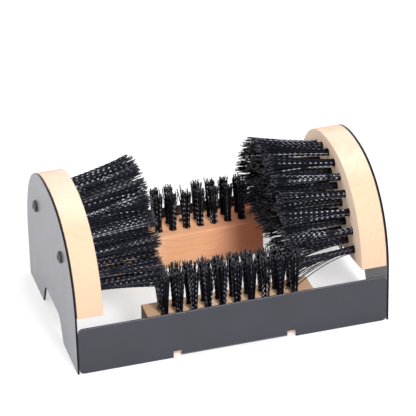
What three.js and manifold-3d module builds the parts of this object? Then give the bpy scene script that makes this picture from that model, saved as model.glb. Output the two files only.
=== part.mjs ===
// Boot brush: a folded steel stand that holds two upright half-round brushes for the sides of a
// boot and two floor brushes for its sole.
// Millimetres. X runs to the right along the stand, Y to the back and Z up. The origin is on the
// floor, under the middle of the stand.

import * as THREE from "three";
import { mergeVertices } from "three/addons/utils/BufferGeometryUtils.js";
import Module from "manifold-3d";

const wasm = await Module();
wasm.setup();

// Fits and cuts
const clearance = 0.3; // between pieces that seat on each other
const overrun = 5; // how far a cut runs past the surface that it opens

// Steel stand
const standWidth = 290; // over the two side plates
const standDepth = 182; // over the front and rear walls
const sheet = 1.8; // thickness of the steel
const wallHeight = 46; // front and rear walls
const wallCorner = 4.5; // rounding of the walls' corners
const plateHeight = 140.4; // side plates, at the top of the arch
const archSpring = 45.4; // height where a plate's edges start to curve in
const archPower = 2.255; // fullness of the arch: 2 is an ellipse, more is squarer
const recessMouth = 77; // recess in a plate's lower edge, along the floor
const recessTop = 54; // the same recess along its top
const recessHeight = 23;
const recessCorner = 7; // rounding of the recess's top corners

// Flanges folded in from the walls, under the floor boards
const flangeWidth = 98;
const flangeDepth = 32; // from the wall's outer face to the flange's free edge
const foldRadius = 2; // inside each fold
const reliefWidth = 8; // notch beside each end of a fold
const reliefHeight = 6.6;

// Welds inside the four corners
const weldLeg = 4;
const weldInset = 8; // from a wall's lower and upper edges to the ends of the bead
const weldHollowShare = 0.25; // how near the bead's face passes to the corner

// Side boards, screwed to the insides of the plates
const sideBoardThick = 23.7;
const sideBoardBottom = 57; // lower edge at its front and rear corners
const sideBoardBelly = 7; // how far the lower edge hangs below its corners at mid length
const sideTuftDepth = 9.5; // from the board's face down to the slice that carries the tufts
const sideSliceMargin = 7; // wood left round the slice
const sideSliceRise = 2; // from the board's corners up to the slice's lower edge

// Floor boards, screwed to the flanges against the walls
const floorBoardLength = 155;
const floorBoardWidth = 36.5;
const floorBoardTop = 36.6; // above the floor
const frontBoardShift = 1.6; // each board sits a little off the middle of the stand
const rearBoardShift = -6;
const floorTuftDepth = 12;
const floorSliceMargin = 6;

// Tufts: each drilled hole holds a bundle of strands that opens towards its tips
const tuftHole = 7.6; // diameter
const slice = 1.6; // thickness of the slice of backing that the strands grow from
const strandRadius = 1.15;
const strandRing = 1.9; // circle that a tuft's strands stand on inside the hole
const strandsPerTuft = 4;
const strandSides = 3;

// Side tufts, in arches one inside the other
const sideArches = 5;
const sideArchEdge = 15.5; // from the board's widest place in to the outer arch of tufts
const sideArchTop = 12.7; // from the top of the board down to it
const sideArchStepIn = 17.5; // from one arch to the next, across
const sideArchStepDown = 15; // and down
const sideArchShift = 4.7; // the arches sit this far behind the middle of their board
const sideTuftPitch = 17.1; // along each arch
const sideTuftLowest = 64.5; // no tuft is rooted lower than this
const leftTuftReach = 62; // from the board's face to the tips
const rightTuftReach = 65;
const sideTuftSpread = 5; // circle that the strands' tips stand on
const fanCentre = 72; // tufts above this height lean up, tufts below it lean down
const leftFanUpright = 224; // the leaning tufts aim away from a point this far behind the face
const rightFanUpright = 324; // the right brush's fan is less open
const fanSideways = 1250; // the same across the board, where they lean less
const tuftRoom = 2; // kept between the side tufts and the floor tufts

// Floor tufts, in two straight rows
const floorTufts = 10; // in a row
const floorTuftEnd = 17.2; // from a board's end to the middle of its first tuft
const floorRows = 2;
const floorRowPitch = 13;
const floorRowShift = 1.5; // both pairs of rows sit behind the middle of their board
const frontRowAside = -1.2; // and the front pair to the left of it
const frontTuftReach = 42;
const rearTuftReach = 37.5;
const floorTuftSpread = 3.9;
const ragged = 1.6; // how far the tips' lengths differ either way

// Pan-head screws that hold the side boards
const sideScrewSpacing = 93.6; // along Y
const sideScrewHeight = 96;
const sideScrewHead = 11; // diameter
const sideScrewDome = 3; // height of the head
const sideScrewRim = 0.9; // straight edge under the dome
const sideScrewShank = 4.2;
const sideScrewLength = 12.7;
const screwPoint = 3; // length of a screw's tapered end

// Countersunk screws that hold the floor boards, from under the flanges
const floorScrewSpacing = 72; // along X
const floorScrewHead = 7.6;
const floorScrewShank = 3.8;
const floorScrewLength = 19;

// Facets
const archSteps = 36;
const curveSteps = 6;
const holeSides = 8;
const roundSides = 16;
const domeSteps = 4;
const goldenAngle = Math.PI * (3 - Math.sqrt(5));

// Places that follow from the sizes
const halfDepth = standDepth / 2;
const plateInside = standWidth / 2 - sheet;
const sideFace = plateInside - clearance - sideBoardThick;
const wallEnd = plateInside - clearance;
const foldOutside = foldRadius + sheet;
const slot = slice + 2 * clearance;
const floorBoardHeight = floorBoardTop - sheet - clearance;
const floorBoardMiddle = halfDepth - sheet - clearance - floorBoardWidth / 2;
const floorTuftPitch = (floorBoardLength - 2 * floorTuftEnd) / (floorTufts - 1);

// Finishes
const coatedSteel = { color: 0x3c3d44, roughness: 0.45, metalness: 0.3 };
const maple = { color: 0xe9c898, roughness: 0.6, metalness: 0 };
const nylon = { color: 0x17171b, roughness: 0.5, metalness: 0 };
const blackScrew = { color: 0x1b1b1e, roughness: 0.4, metalness: 0.6 };

// Axes that a flat outline is turned to: its x, its y, and the way that it is thickened
const alongX = new THREE.Vector3(1, 0, 0);
const alongY = new THREE.Vector3(0, 1, 0);
const alongZ = new THREE.Vector3(0, 0, 1);
const facingX = new THREE.Matrix4().makeBasis(alongY, alongZ, alongX);
const facingY = new THREE.Matrix4().makeBasis(alongX, alongZ, alongY.clone().negate());

function solidOf(geometry) {
  const bare = geometry.index ? geometry.toNonIndexed() : geometry.clone();
  bare.deleteAttribute("normal");
  bare.deleteAttribute("uv");
  const merged = mergeVertices(bare, clearance / 1000);
  return new wasm.Manifold(
    new wasm.Mesh({
      numProp: 3,
      vertProperties: merged.getAttribute("position").array,
      triVerts: new Uint32Array(merged.index.array),
    }),
  );
}

function geometryOf(solid) {
  const mesh = solid.getMesh();
  const geometry = new THREE.BufferGeometry();
  geometry.setAttribute("position", new THREE.BufferAttribute(mesh.vertProperties, 3));
  geometry.setIndex(new THREE.BufferAttribute(mesh.triVerts, 1));
  return geometry;
}

function extrude(shape, depth) {
  return new THREE.ExtrudeGeometry(shape, { depth, bevelEnabled: false, curveSegments: curveSteps });
}

// A round cutter along Z, from one height to another, with a width at each end
function drill(lowRadius, highRadius, low, high, sides) {
  const cutter = new THREE.CylinderGeometry(highRadius, lowRadius, high - low, sides);
  return cutter.rotateX(Math.PI / 2).translate(0, 0, (low + high) / 2);
}

function part(name, geometry, finish) {
  const mesh = new THREE.Mesh(geometry, new THREE.MeshStandardMaterial(finish));
  mesh.name = name;
  mesh.geometry.computeVertexNormals();
  return mesh;
}

// The arch of the side plates, moved in by a margin: points from its right foot over the top
// to its left foot, both at the height of bottom
function archPoints(margin, bottom) {
  const half = halfDepth - margin;
  const rise = plateHeight - archSpring - margin;
  const lift = Math.max(0, bottom - archSpring) / rise;
  const start = Math.asin(Math.pow(lift, archPower / 2));
  const points = [];
  for (let step = 0; step <= archSteps; step++) {
    const turn = start + ((Math.PI - 2 * start) * step) / archSteps;
    const across = Math.pow(Math.abs(Math.cos(turn)), 2 / archPower) * Math.sign(Math.cos(turn));
    const up = Math.pow(Math.sin(turn), 2 / archPower);
    points.push(new THREE.Vector2(half * across, archSpring + rise * up));
  }
  return points;
}

// Front or rear wall, seen from the front, with its middle ending where the fold begins
function wallOutline() {
  const flange = flangeWidth / 2;
  const relief = flange + reliefWidth;
  const shape = new THREE.Shape();
  shape.moveTo(flange, foldOutside);
  shape.lineTo(flange, reliefHeight);
  shape.lineTo(relief, reliefHeight);
  shape.lineTo(relief, 0);
  shape.lineTo(wallEnd - wallCorner, 0);
  shape.absarc(wallEnd - wallCorner, wallCorner, wallCorner, -Math.PI / 2, 0);
  shape.lineTo(wallEnd, wallHeight - wallCorner);
  shape.absarc(wallEnd - wallCorner, wallHeight - wallCorner, wallCorner, 0, Math.PI / 2);
  shape.lineTo(wallCorner - wallEnd, wallHeight);
  shape.absarc(wallCorner - wallEnd, wallHeight - wallCorner, wallCorner, Math.PI / 2, Math.PI);
  shape.lineTo(-wallEnd, wallCorner);
  shape.absarc(wallCorner - wallEnd, wallCorner, wallCorner, Math.PI, 1.5 * Math.PI);
  shape.lineTo(-relief, 0);
  shape.lineTo(-relief, reliefHeight);
  shape.lineTo(-flange, reliefHeight);
  shape.lineTo(-flange, foldOutside);
  return shape;
}

// The fold and its flange, seen from the side with the wall's outer face at zero, reaching up
// into the wall
function flangeOutline() {
  const shape = new THREE.Shape();
  shape.moveTo(foldOutside, 0);
  shape.lineTo(flangeDepth, 0);
  shape.lineTo(flangeDepth, sheet);
  shape.lineTo(foldOutside, sheet);
  shape.absarc(foldOutside, foldOutside, foldRadius, -Math.PI / 2, -Math.PI, true);
  shape.lineTo(sheet, reliefHeight);
  shape.lineTo(0, reliefHeight);
  shape.lineTo(0, foldOutside);
  shape.absarc(foldOutside, foldOutside, foldOutside, Math.PI, 1.5 * Math.PI);
  return shape;
}

// A wall with its flange, its outer face at zero and the flange behind it
function foldedWall(name) {
  const face = extrude(wallOutline(), sheet).applyMatrix4(facingY).translate(0, sheet, 0);
  const flange = extrude(flangeOutline(), flangeWidth).applyMatrix4(facingX);
  let wall = solidOf(face).add(solidOf(flange.translate(-flangeWidth / 2, 0, 0)));
  for (const side of [-1, 1]) {
    const mouth = floorScrewHead / 2 + 2 * clearance;
    const cone = drill(mouth + overrun, mouth - sheet, -overrun, sheet, roundSides);
    const bore = floorScrewShank / 2 + clearance;
    const shank = drill(bore, bore, 0, sheet + overrun, roundSides);
    for (const cut of [cone, shank]) {
      cut.translate((side * floorScrewSpacing) / 2, halfDepth - floorBoardMiddle, 0);
      wall = wall.subtract(solidOf(cut));
    }
  }
  return part(name, geometryOf(wall), coatedSteel);
}

// A side plate seen from its end, with the recess in its lower edge
function plateOutline() {
  const mouth = recessMouth / 2;
  const top = recessTop / 2;
  const slope = new THREE.Vector2(mouth - top, -recessHeight).setLength(recessCorner);
  const shape = new THREE.Shape();
  shape.moveTo(-halfDepth, 0);
  shape.lineTo(-mouth, 0);
  shape.lineTo(-top - slope.x, recessHeight + slope.y);
  shape.quadraticCurveTo(-top, recessHeight, recessCorner - top, recessHeight);
  shape.lineTo(top - recessCorner, recessHeight);
  shape.quadraticCurveTo(top, recessHeight, top + slope.x, recessHeight + slope.y);
  shape.lineTo(mouth, 0);
  shape.lineTo(halfDepth, 0);
  for (const point of archPoints(0, archSpring)) shape.lineTo(point.x, point.y);
  return shape;
}

function sidePlate(name) {
  let plate = solidOf(extrude(plateOutline(), sheet).applyMatrix4(facingX));
  for (const end of [-1, 1]) {
    const radius = sideScrewShank / 2 + clearance;
    const hole = drill(radius, radius, -overrun, sheet + overrun, roundSides).rotateY(Math.PI / 2);
    hole.translate(0, (end * sideScrewSpacing) / 2, sideScrewHeight);
    plate = plate.subtract(solidOf(hole));
  }
  return part(name, geometryOf(plate), coatedSteel);
}

// A bead that fills an inside corner, its face a little hollow
function cornerWeld(name) {
  const shape = new THREE.Shape();
  shape.moveTo(0, 0);
  shape.lineTo(0, weldLeg);
  shape.quadraticCurveTo(-weldHollowShare * weldLeg, weldHollowShare * weldLeg, -weldLeg, 0);
  return part(name, extrude(shape, wallHeight - 2 * weldInset), coatedSteel);
}

// One strand, from the middle of the slice through the hole's mouth to its tip. Its sections
// lie flat, parallel to the board's face.
function strand(places, twist) {
  const positions = [];
  const corner = (place, k) => {
    const turn = twist + (2 * Math.PI * k) / strandSides;
    const x = place.x + strandRadius * Math.cos(turn);
    const y = place.y + strandRadius * Math.sin(turn);
    return [x, y, place.z];
  };
  for (let i = 1; i < places.length; i++) {
    for (let k = 0; k < strandSides; k++) {
      const lowA = corner(places[i - 1], k);
      const lowB = corner(places[i - 1], k + 1);
      const highA = corner(places[i], k);
      const highB = corner(places[i], k + 1);
      positions.push(...lowA, ...lowB, ...highB, ...lowA, ...highB, ...highA);
    }
  }
  for (let k = 1; k < strandSides - 1; k++) {
    const root = places[0];
    const tip = places[places.length - 1];
    positions.push(...corner(root, 0), ...corner(root, k + 1), ...corner(root, k));
    positions.push(...corner(tip, 0), ...corner(tip, k), ...corner(tip, k + 1));
  }
  const geometry = new THREE.BufferGeometry();
  return geometry.setAttribute("position", new THREE.Float32BufferAttribute(positions, 3));
}

// The strands of one tuft
function tuftStrands(tuft, index, depth, spread) {
  const strands = [];
  for (let k = 0; k < strandsPerTuft; k++) {
    const order = index * strandsPerTuft + k;
    const turn = index * goldenAngle + (2 * Math.PI * k) / strandsPerTuft;
    const away = new THREE.Vector2(Math.cos(turn), Math.sin(turn));
    const tip = tuft.reach + ragged * Math.sin(order * goldenAngle);
    const at = (height, circle) =>
      new THREE.Vector3(
        tuft.x + tuft.leanX * height + circle * away.x,
        tuft.y + tuft.leanY * height + circle * away.y,
        height,
      );
    const root = -depth - clearance - slice / 2;
    strands.push(strand([at(root, strandRing), at(0, strandRing), at(tip, spread)], turn));
  }
  return strands;
}

// A brush lies on its back: its face is the XY plane, the board is below and the tufts stand up.
// The board is drilled for its tufts and pocketed, from its -Y edge, for the slice that the
// strands grow from. Its back is drilled for the screws.
function brush(name, design) {
  const { depth, tufts, spread, screws } = design;
  let board = solidOf(design.blank);
  board = board.subtract(solidOf(extrude(design.pocket, slot).translate(0, 0, -depth - slot)));
  const strands = [];
  tufts.forEach((tuft, index) => {
    const hole = drill(tuftHole / 2, tuftHole / 2, -depth - slot / 2, overrun, holeSides);
    const lean = new THREE.Matrix4().makeShear(0, 0, 0, 0, tuft.leanX, tuft.leanY);
    lean.setPosition(tuft.x, tuft.y, 0);
    board = board.subtract(solidOf(hole.applyMatrix4(lean)));
    strands.push(...tuftStrands(tuft, index, depth, spread).map(solidOf));
  });
  const backing = extrude(design.slice, slice).translate(0, 0, -depth - clearance - slice);
  const bristles = wasm.Manifold.union([solidOf(backing), ...strands]);
  const radius = screws.shank / 2 + clearance;
  const end = screws.depth + clearance - design.thick;
  for (const at of screws.places) {
    const hole = drill(radius, radius, -design.thick - overrun, end, roundSides);
    board = board.subtract(solidOf(hole.translate(at.x, at.y, 0)));
  }
  const group = new THREE.Group();
  group.add(part(name + "_board", geometryOf(board), maple));
  group.add(part(name + "_bristles", geometryOf(bristles), nylon));
  return group;
}

// Places along one arch of side tufts, on both halves, stepped by the pitch
function archTufts(half, rise, firstStep) {
  const places = [];
  const steps = 400;
  let travelled = -firstStep * sideTuftPitch;
  let last = new THREE.Vector2(0, rise);
  for (let step = 0; step <= steps; step++) {
    const turn = (Math.PI / 2) * (step / steps);
    const here = new THREE.Vector2(half * Math.sin(turn), rise * Math.cos(turn));
    travelled += here.distanceTo(last);
    last = here;
    if (travelled < 0) continue;
    travelled -= sideTuftPitch;
    const height = archSpring + here.y;
    if (height < sideTuftLowest) break;
    places.push(new THREE.Vector2(here.x, height));
    if (here.x > 0) places.push(new THREE.Vector2(-here.x, height));
  }
  return places;
}

// The side tufts, whose arches are shifted along the board, open like a fan. They reach less
// where they would run into the floor tufts.
function sideTufts(archShift, fanUpright, fullReach) {
  const outermost = ((floorTufts - 1) * floorTuftPitch) / 2;
  const shift = Math.max(Math.abs(frontBoardShift), Math.abs(rearBoardShift));
  const floorRadius = floorTuftSpread + strandRadius;
  const shortReach = sideFace - outermost - shift - floorRadius - tuftRoom;
  const rowsHalf = ((floorRows - 1) * floorRowPitch) / 2 + floorRowShift;
  const floorInner = floorBoardMiddle - rowsHalf - floorRadius - tuftRoom;
  const floorReach = Math.max(frontTuftReach, rearTuftReach);
  const floorTips = floorBoardTop + floorReach + ragged + tuftRoom;
  const tufts = [];
  for (let arch = 0; arch < sideArches; arch++) {
    const half = halfDepth - sideArchEdge - arch * sideArchStepIn;
    const rise = plateHeight - archSpring - sideArchTop - arch * sideArchStepDown;
    for (const place of archTufts(half, rise, arch % 2 ? 0.5 : 0)) {
      const x = place.x + archShift;
      const leanX = x / fanSideways;
      const leanY = (place.y - fanCentre) / fanUpright;
      const radius = sideTuftSpread + strandRadius;
      const outer = Math.abs(x + leanX * fullReach) + radius;
      const lower = place.y + Math.min(0, leanY * fullReach) - radius;
      const meets = outer > floorInner && lower < floorTips;
      const reach = meets ? Math.min(fullReach, shortReach - ragged) : fullReach;
      tufts.push({ x, y: place.y, leanX, leanY, reach });
    }
  }
  return tufts;
}

function sideBrush(name, tufts) {
  const corners = archPoints(0, sideBoardBottom);
  const board = new THREE.Shape(corners);
  board.quadraticCurveTo(0, sideBoardBottom - 2 * sideBoardBelly, corners[0].x, corners[0].y);
  const sliceBottom = sideBoardBottom + sideSliceRise;
  const pocketArch = archPoints(sideSliceMargin - clearance, sliceBottom);
  const pocket = new THREE.Shape(pocketArch);
  pocket.lineTo(-pocketArch[0].x, sideBoardBottom - sideBoardBelly - overrun);
  pocket.lineTo(pocketArch[0].x, sideBoardBottom - sideBoardBelly - overrun);
  return brush(name, {
    blank: extrude(board, sideBoardThick).translate(0, 0, -sideBoardThick),
    pocket,
    slice: new THREE.Shape(archPoints(sideSliceMargin, sliceBottom)),
    thick: sideBoardThick,
    depth: sideTuftDepth,
    tufts,
    spread: sideTuftSpread,
    screws: {
      shank: sideScrewShank,
      depth: sideScrewLength - sheet - 2 * clearance,
      places: [-0.5, 0.5].map((end) => new THREE.Vector2(end * sideScrewSpacing, sideScrewHeight)),
    },
  });
}

function rectangle(half, front, back) {
  const corners = [new THREE.Vector2(-half, front), new THREE.Vector2(half, front)];
  corners.push(new THREE.Vector2(half, back), new THREE.Vector2(-half, back));
  return new THREE.Shape(corners);
}

// A floor brush with its wall at its -Y edge, where the board's lower arris is taken off to
// clear the fold. The shifts are given as they are in that place.
function floorBrush(name, reach, boardShift, rowsShift) {
  const half = floorBoardLength / 2;
  const front = -floorBoardWidth / 2;
  const back = floorBoardWidth / 2;
  const end = new THREE.Shape();
  end.moveTo(front, 0);
  end.lineTo(front, foldRadius - floorBoardHeight);
  end.lineTo(front + foldRadius, -floorBoardHeight);
  end.lineTo(back, -floorBoardHeight);
  end.lineTo(back, 0);
  const margin = floorSliceMargin;
  const tufts = [];
  for (let row = 0; row < floorRows; row++) {
    for (let k = 0; k < floorTufts; k++) {
      const x = rowsShift.x + (k - (floorTufts - 1) / 2) * floorTuftPitch;
      const y = rowsShift.y + (row - (floorRows - 1) / 2) * floorRowPitch;
      tufts.push({ x, y, leanX: 0, leanY: 0, reach });
    }
  }
  return brush(name, {
    blank: extrude(end, floorBoardLength).applyMatrix4(facingX).translate(-half, 0, 0),
    pocket: rectangle(half - margin + clearance, front - overrun, back - margin + clearance),
    slice: rectangle(half - margin, front + clearance, back - margin),
    thick: floorBoardHeight,
    depth: floorTuftDepth,
    tufts,
    spread: floorTuftSpread,
    screws: {
      shank: floorScrewShank,
      depth: floorScrewLength - sheet,
      places: [-0.5, 0.5].map((side) => new THREE.Vector2(side * floorScrewSpacing - boardShift, 0)),
    },
  });
}

// A screw along Y with its head up, its seat at zero for a pan head and its flat for a
// countersunk one
function panScrew(name) {
  const shank = sideScrewShank / 2;
  const head = sideScrewHead / 2;
  const profile = [new THREE.Vector2(0, -sideScrewLength)];
  profile.push(new THREE.Vector2(shank, screwPoint - sideScrewLength), new THREE.Vector2(shank, 0));
  profile.push(new THREE.Vector2(head, 0));
  for (let step = 0; step <= domeSteps; step++) {
    const turn = (Math.PI / 2) * (step / domeSteps);
    const dome = (sideScrewDome - sideScrewRim) * Math.sin(turn);
    const radius = step < domeSteps ? head * Math.cos(turn) : 0;
    profile.push(new THREE.Vector2(radius, sideScrewRim + dome));
  }
  return part(name, new THREE.LatheGeometry(profile, roundSides), blackScrew);
}

function countersunkScrew(name) {
  const shank = floorScrewShank / 2;
  const head = floorScrewHead / 2;
  const profile = [new THREE.Vector2(0, -floorScrewLength)];
  profile.push(new THREE.Vector2(shank, screwPoint - floorScrewLength));
  profile.push(new THREE.Vector2(shank, shank - head), new THREE.Vector2(head, 0));
  profile.push(new THREE.Vector2(0, 0));
  return part(name, new THREE.LatheGeometry(profile, roundSides), blackScrew);
}

const bootBrush = new THREE.Group();

const sides = [
  { name: "left", way: -1, tufts: sideTufts(sideArchShift, leftFanUpright, leftTuftReach) },
  { name: "right", way: 1, tufts: sideTufts(-sideArchShift, rightFanUpright, rightTuftReach) },
];
const ends = [
  { name: "front", way: -1, wall: "base_pan" },
  { name: "rear", way: 1, wall: "rear_pan" },
];

for (const end of ends) {
  const wall = foldedWall(end.wall);
  wall.rotation.z = end.way > 0 ? Math.PI : 0;
  wall.position.y = end.way * halfDepth;
  bootBrush.add(wall);
}

for (const side of sides) {
  const plate = sidePlate(side.name + "_side_plate");
  plate.position.x = side.way > 0 ? plateInside : -plateInside - sheet;
  bootBrush.add(plate);

  // The brush stands up and faces the other side
  const sideways = sideBrush(side.name + "_side", side.tufts);
  const across = alongY.clone().multiplyScalar(-side.way);
  const inward = alongX.clone().multiplyScalar(-side.way);
  const stance = new THREE.Matrix4().makeBasis(across, alongZ, inward);
  sideways.quaternion.setFromRotationMatrix(stance);
  sideways.position.x = side.way * sideFace;
  bootBrush.add(sideways);

  for (const end of ends) {
    const screw = panScrew(side.name + "_" + end.name + "_board_screw");
    screw.rotation.z = (-side.way * Math.PI) / 2;
    screw.position.x = side.way * (standWidth / 2 + clearance);
    screw.position.y = (end.way * sideScrewSpacing) / 2;
    screw.position.z = sideScrewHeight;
    bootBrush.add(screw);

    const weld = cornerWeld(side.name + "_" + end.name + "_weld");
    weld.scale.set(side.way, -end.way, 1);
    weld.position.x = side.way * (plateInside - clearance);
    weld.position.y = end.way * (halfDepth - sheet - clearance);
    weld.position.z = weldInset;
    bootBrush.add(weld);

    const floorScrew = countersunkScrew(end.name + "_" + side.name + "_floor_screw");
    floorScrew.rotation.x = -Math.PI / 2;
    floorScrew.position.x = (side.way * floorScrewSpacing) / 2;
    floorScrew.position.y = end.way * floorBoardMiddle;
    floorScrew.position.z = clearance;
    bootBrush.add(floorScrew);
  }
}

const frontRows = new THREE.Vector2(frontRowAside, floorRowShift);
const frontBrush = floorBrush("front_floor", frontTuftReach, frontBoardShift, frontRows);
frontBrush.position.set(frontBoardShift, -floorBoardMiddle, floorBoardTop);
bootBrush.add(frontBrush);

const rearRows = new THREE.Vector2(0, -floorRowShift);
const rearBrush = floorBrush("rear_floor", rearTuftReach, -rearBoardShift, rearRows);
rearBrush.rotation.z = Math.PI;
rearBrush.position.set(rearBoardShift, floorBoardMiddle, floorBoardTop);
bootBrush.add(rearBrush);

export default bootBrush;
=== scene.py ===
# %% [markdown]
# A boot brush, dressed for a photograph.
# The real object is a folded steel stand, coated dark grey, with four wooden brushes in it. Two
# half-round boards face each other and scrub the sides of a boot. Two bars lie along the walls
# and scrub its sole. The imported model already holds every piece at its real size. This script
# keeps those sizes and gives the pieces what an eye looks for: soft edges, drilled wood with
# growth rings, hundreds of crimped filaments in each brush, and a plain studio round them.

# %% Load the frame
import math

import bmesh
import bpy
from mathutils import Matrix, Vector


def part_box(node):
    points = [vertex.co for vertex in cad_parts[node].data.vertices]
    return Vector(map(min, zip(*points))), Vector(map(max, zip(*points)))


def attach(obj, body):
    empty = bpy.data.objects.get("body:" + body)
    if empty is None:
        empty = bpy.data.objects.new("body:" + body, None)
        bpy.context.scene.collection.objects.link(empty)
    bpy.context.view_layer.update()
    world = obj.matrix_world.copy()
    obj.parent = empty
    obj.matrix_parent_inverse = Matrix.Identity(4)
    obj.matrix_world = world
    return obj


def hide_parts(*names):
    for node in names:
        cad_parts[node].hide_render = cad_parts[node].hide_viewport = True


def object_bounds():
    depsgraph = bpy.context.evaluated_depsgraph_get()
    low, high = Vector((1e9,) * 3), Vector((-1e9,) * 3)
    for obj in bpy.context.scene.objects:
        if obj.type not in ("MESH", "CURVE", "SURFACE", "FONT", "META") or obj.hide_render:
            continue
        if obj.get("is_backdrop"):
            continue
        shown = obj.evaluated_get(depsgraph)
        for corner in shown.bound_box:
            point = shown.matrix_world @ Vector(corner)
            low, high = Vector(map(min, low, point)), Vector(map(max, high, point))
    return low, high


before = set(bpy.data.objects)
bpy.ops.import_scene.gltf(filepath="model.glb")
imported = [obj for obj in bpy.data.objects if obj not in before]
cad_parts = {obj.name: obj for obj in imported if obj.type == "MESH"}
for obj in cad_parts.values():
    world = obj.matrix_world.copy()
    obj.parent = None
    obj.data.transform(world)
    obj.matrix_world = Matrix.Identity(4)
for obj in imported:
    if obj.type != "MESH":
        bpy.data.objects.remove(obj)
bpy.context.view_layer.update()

# %% [markdown]
# Blender works in metres and a maker in millimetres, so a size is written in millimetres, times
# one factor. Three jobs come back all the time, and each has a helper: to link an object to the
# scene, to keep a shape that was built corner by corner as a mesh, and to keep what an object's
# modifiers make of it.

MM = 0.001
UP = Vector((0, 0, 1))
SIDES = {"left": -1, "right": 1}
ENDS = {"front": -1, "rear": 1}


def in_mm(values):
    return [round(value / MM, 1) for value in values]


def into_scene(name, data):
    holder = bpy.data.objects.new(name, data)
    bpy.context.scene.collection.objects.link(holder)
    return holder


def mesh_from(name, shape):
    mesh = bpy.data.meshes.new(name)
    shape.to_mesh(mesh)
    shape.free()
    return mesh


def closed_mesh(name, shape):
    bmesh.ops.recalc_face_normals(shape, faces=shape.faces)
    for face in shape.faces:
        face.smooth = True
    return mesh_from(name, shape)


def baked(name, holder):
    depsgraph = bpy.context.evaluated_depsgraph_get()
    made = bpy.data.meshes.new_from_object(holder.evaluated_get(depsgraph))
    plain = holder.data
    bpy.data.objects.remove(holder)
    bpy.data.meshes.remove(plain)
    made.name = name
    return made


# %% [markdown]
# Every piece ends the same way: a mesh in place with its finish, an object at the origin that
# moves with the root body, and the imported nodes that it stands for hidden. One function does
# that, so no piece can forget one of them.

# %% Add a piece
def add_piece(name, mesh, finish, nodes):
    mesh.materials.clear()
    mesh.materials.append(finish)
    piece = into_scene(name, mesh)
    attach(piece, "root")
    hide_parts(*nodes)
    triangles = sum(len(face.vertices) - 2 for face in mesh.polygons)
    print(f"{name}: {triangles} triangles, stands for {len(nodes)} node(s)")


# %% [markdown]
# Node trees are easier to read as sums than as boxes and wires. A Field is one output of a node.
# Adding or multiplying two Fields adds the Math node that does it, so a formula in this script
# is the same formula in the tree. The helper works in shader trees and in geometry trees.

# %% Write node trees as formulas
def named(sockets, name):
    return next(socket for socket in sockets if socket.name == name and socket.enabled)


def feed(tree, socket, value):
    if isinstance(value, Field):
        tree.links.new(value.socket, socket)
    elif socket.type == "VECTOR" and isinstance(value, (int, float)):
        socket.default_value = (value, value, value)
    else:
        socket.default_value = value


def add_node(tree, kind, inputs=None, **settings):
    node = tree.nodes.new(kind)
    for name, value in settings.items():
        setattr(node, name, value)
    for name, value in (inputs or {}).items():
        feed(tree, named(node.inputs, name), value)
    return node


class Field:
    def __init__(self, tree, socket):
        self.tree = tree
        self.socket = socket

    def work(self, operation, *others):
        operands = [self, *others]
        vector = any(isinstance(o, Field) and o.socket.type == "VECTOR" for o in operands)
        kind = "ShaderNodeVectorMath" if vector else "ShaderNodeMath"
        node = add_node(self.tree, kind, operation=operation)
        for socket, operand in zip(node.inputs, operands):
            feed(self.tree, socket, operand)
        return Field(self.tree, node.outputs[0])

    def __add__(self, other):
        return self.work("ADD", other)

    def __sub__(self, other):
        return self.work("SUBTRACT", other)

    def __mul__(self, other):
        return self.work("MULTIPLY", other)

    def __truediv__(self, other):
        return self.work("DIVIDE", other)

    def __pow__(self, other):
        return self.work("POWER", other)


def output_of(tree, kind, output, inputs=None, **settings):
    node = add_node(tree, kind, inputs, **settings)
    return Field(tree, named(node.outputs, output))


# %% [markdown]
# All finishes start alike: a Principled shader that isn't metal, and the object's own coordinates,
# which stay with the piece from any side. Noise at a named size gives the small unevenness that
# keeps a surface from looking like plastic, and a grain of 0.4 mm is the same on every piece.
# Smooth noise has one finer layer added to it, plain noise has two and fine noise three. A named
# pair of values is a range that from_to turns into 0 to 1.

# %% Helpers for finishes
SMOOTH, PLAIN, FINE = 1.0, 2.0, 3.0


def new_finish(name, **plain):
    finish = bpy.data.materials.new(name)
    finish.use_nodes = True
    tree = finish.node_tree
    shader = tree.nodes["Principled BSDF"]
    for socket, value in {"Metallic": 0.0, **plain}.items():
        shader.inputs[socket.replace("_", " ")].default_value = value
    place = output_of(tree, "ShaderNodeTexCoord", "Object")
    return finish, tree, shader, place


def noise(tree, place, size, detail=PLAIN, roughness=0.5):
    inputs = {"Vector": place, "Scale": 1 / size, "Detail": detail, "Roughness": roughness}
    return output_of(tree, "ShaderNodeTexNoise", "Fac", inputs)


def attribute(tree, name):
    return output_of(tree, "ShaderNodeAttribute", "Fac", attribute_name=name)


def from_to(tree, value, low, high):
    inputs = {"Value": value, "From Min": low, "From Max": high}
    return output_of(tree, "ShaderNodeMapRange", "Result", inputs)


def mixed(tree, share, first, second):
    colours = [(*c, 1.0) if isinstance(c, tuple) else c for c in (first, second)]
    inputs = {"Factor": share, "A": colours[0], "B": colours[1]}
    return output_of(tree, "ShaderNodeMix", "Result", inputs, data_type="RGBA")


def paint(tree, shader, colour, rough):
    feed(tree, shader.inputs["Base Color"], colour)
    feed(tree, shader.inputs["Roughness"], rough)


def bump(tree, shader, height, strength, depth):
    inputs = {"Height": height, "Strength": strength, "Distance": depth}
    feed(tree, shader.inputs["Normal"], output_of(tree, "ShaderNodeBump", "Normal", inputs))
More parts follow.
